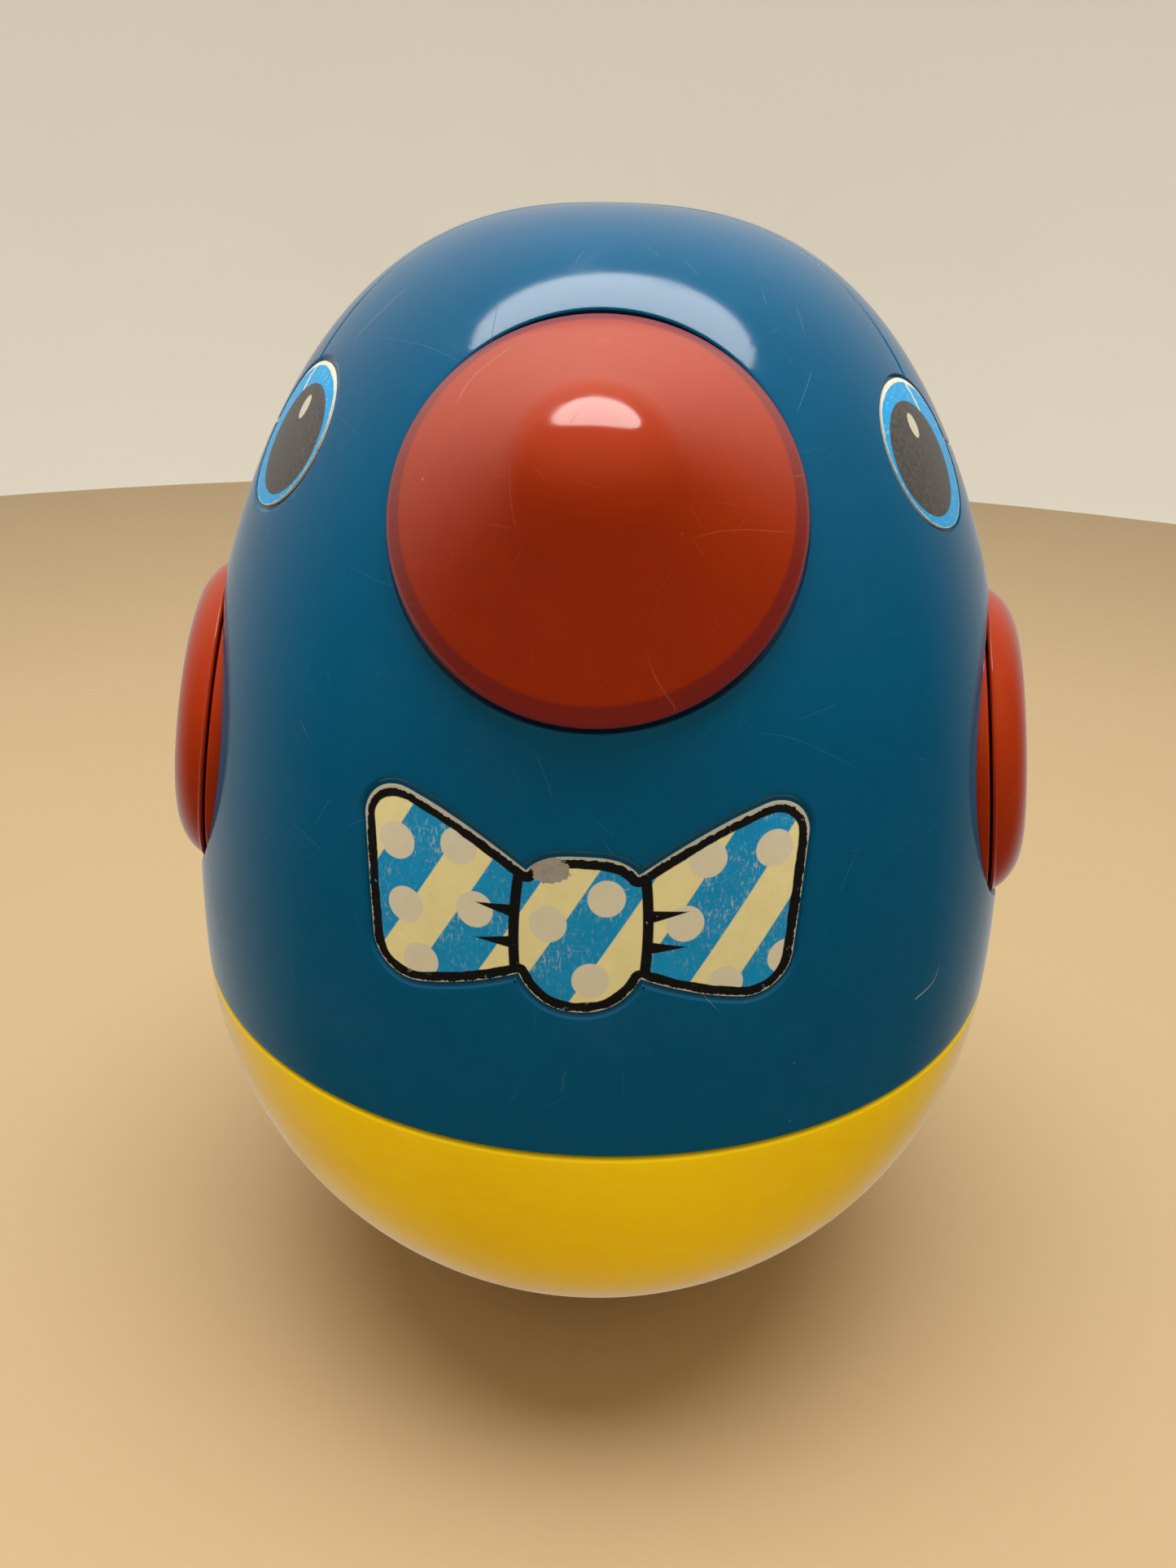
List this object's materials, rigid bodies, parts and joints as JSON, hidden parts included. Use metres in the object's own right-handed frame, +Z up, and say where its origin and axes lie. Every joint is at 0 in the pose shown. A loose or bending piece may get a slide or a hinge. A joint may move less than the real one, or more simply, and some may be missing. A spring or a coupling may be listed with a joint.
{
  "type": "roly-poly chime toy",
  "caption": "Weighted half-round bowl under an egg-shaped bird body with a beak, round turning flippers and a hanging chime striker inside.",
  "frame": {"origin": "centre of the small flat the toy stands on", "axes": "+Z up along the body's axis, the face and beak look along -Y, +X to the toy's own left side"},
  "size_m": [0.1028, 0.1008, 0.133],
  "materials": {
    "yellow_shell": "glossy, fine scratches",
    "teal_shell": "glossy, fine scratches",
    "orange_plastic": "glossy",
    "printed_paper": "printed, worn",
    "iron": "as cast",
    "steel": "zinc plated",
    "block": "turned",
    "white_plastic": "matte moulding",
    "beech": "turned, bare"
  },
  "bodies": {
    "toy": {"base_bowl": "yellow_shell", "front_shell": "teal_shell", "rear_shell": "teal_shell", "beak": "orange_plastic", "beak_retainer": "steel", "left_eye_label": "printed_paper", "right_eye_label": "printed_paper", "bow_label": "printed_paper", "ballast_weight": "iron", "chime_base": "white_plastic", "clamp_screw_1": "steel", "clamp_screw_2": "steel", "clamp_screw_3": "steel", "chime_block": "block", "block_screw": "steel", "chime_rod_1": "steel", "chime_rod_2": "steel", "chime_rod_3": "steel", "chime_rod_4": "steel", "chime_rod_5": "steel", "chime_rod_6": "steel", "striker_frame": "white_plastic", "frame_screw_1": "steel", "frame_screw_2": "steel", "hanger_pin": "steel"},
    "left_flipper_disc": {"left_flipper": "orange_plastic", "left_flipper_back": "orange_plastic", "left_flipper_retainer": "steel"},
    "right_flipper_disc": {"right_flipper": "orange_plastic", "right_flipper_back": "orange_plastic", "right_flipper_retainer": "steel"},
    "hanger": {"hanger_link": "steel", "striker_pin": "steel"},
    "striker": {"striker_rod": "steel", "striker_ball": "beech"}
  },
  "joints": [
    {"name": "left_flipper_spin", "type": "hinge", "parent": "toy", "child": "left_flipper_disc", "pos_m": [0, 0, 0.0706], "axis": [0.9668, -0.1949, 0.165], "continuous": true},
    {"name": "right_flipper_spin", "type": "hinge", "parent": "toy", "child": "right_flipper_disc", "pos_m": [0, 0, 0.0706], "axis": [-0.9668, -0.1949, 0.165], "continuous": true},
    {"name": "hanger_swing", "type": "hinge", "parent": "toy", "child": "hanger", "pos_m": [0, 0, 0.083], "axis": [1, 0, 0], "range_deg": [-15, 15]},
    {"name": "striker_swing", "type": "hinge", "parent": "hanger", "child": "striker", "pos_m": [0, 0, 0.075], "axis": [0, 1, 0], "range_deg": [-15, 15]}
  ]
}
